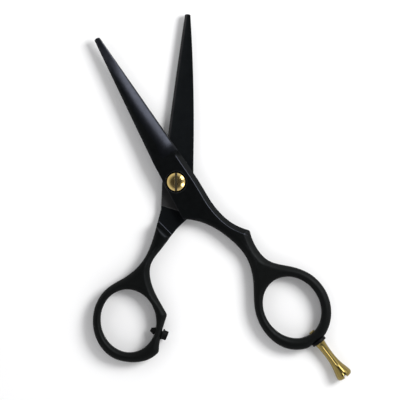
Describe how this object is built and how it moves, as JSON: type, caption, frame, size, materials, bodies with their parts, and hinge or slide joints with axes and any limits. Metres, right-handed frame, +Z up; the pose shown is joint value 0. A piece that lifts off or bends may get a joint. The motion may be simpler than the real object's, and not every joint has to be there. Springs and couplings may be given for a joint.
{
  "type": "hair cutting shears",
  "caption": "Black-coated hair cutting shears, half open, with a gold slotted tension screw, a screw-in gold finger rest and a rubber bumper between the finger rings.",
  "frame": {"origin": "on the pivot axis, in the flat plane of the lower half's underside on which the shears lie", "axes": "+Z up out of the table towards the screw's head, +Y along the line that halves the open blades, towards the tips, +X towards the finger ring's side"},
  "size_m": [0.0816, 0.1317, 0.0059],
  "materials": {
    "black_coating": "satin black coating on forged steel",
    "gold_plate": "polished gold plating",
    "bare_steel": "turned and pressed steel",
    "glide_plastic": "natural white acetal",
    "black_plastic": "moulded black nylon",
    "black_rubber": "moulded black rubber"
  },
  "bodies": {
    "lower": {"lower_half": "black_coating", "bumper": "black_rubber", "threaded_insert": "bare_steel", "lock_pellet": "glide_plastic", "ride_washer": "glide_plastic"},
    "upper": {"upper_half": "black_coating", "pivot_bush": "glide_plastic"},
    "screw": {"pivot_screw": "gold_plate", "head_washer": "black_plastic", "spring_washer": "bare_steel"},
    "rest_collar": {"finger_rest_washer": "black_plastic"},
    "rest": {"finger_rest": "gold_plate"}
  },
  "joints": [
    {"name": "pivot", "type": "hinge", "parent": "lower", "child": "upper", "pos_m": [0, 0, 0], "axis": [0, 0, 1], "range_deg": [-34, 88]},
    {"name": "tension_screw", "type": "hinge", "parent": "lower", "child": "screw", "pos_m": [0, 0, 0], "axis": [0, 0, 1], "range_deg": [-30, 90]},
    {"name": "rest_travel", "type": "slide", "parent": "upper", "child": "rest_collar", "axis": [0.4147, -0.91, 0], "range_m": [0, 0.00337]},
    {"name": "rest_turn", "type": "hinge", "parent": "rest_collar", "child": "rest", "pos_m": [0.03536, -0.06324, 0.00275], "axis": [0.4147, -0.91, 0], "range_deg": [0, 2700]}
  ],
  "couplings": [
    {"joint": "rest_turn", "follows": "rest_travel", "rad_per_m": 13963}
  ]
}
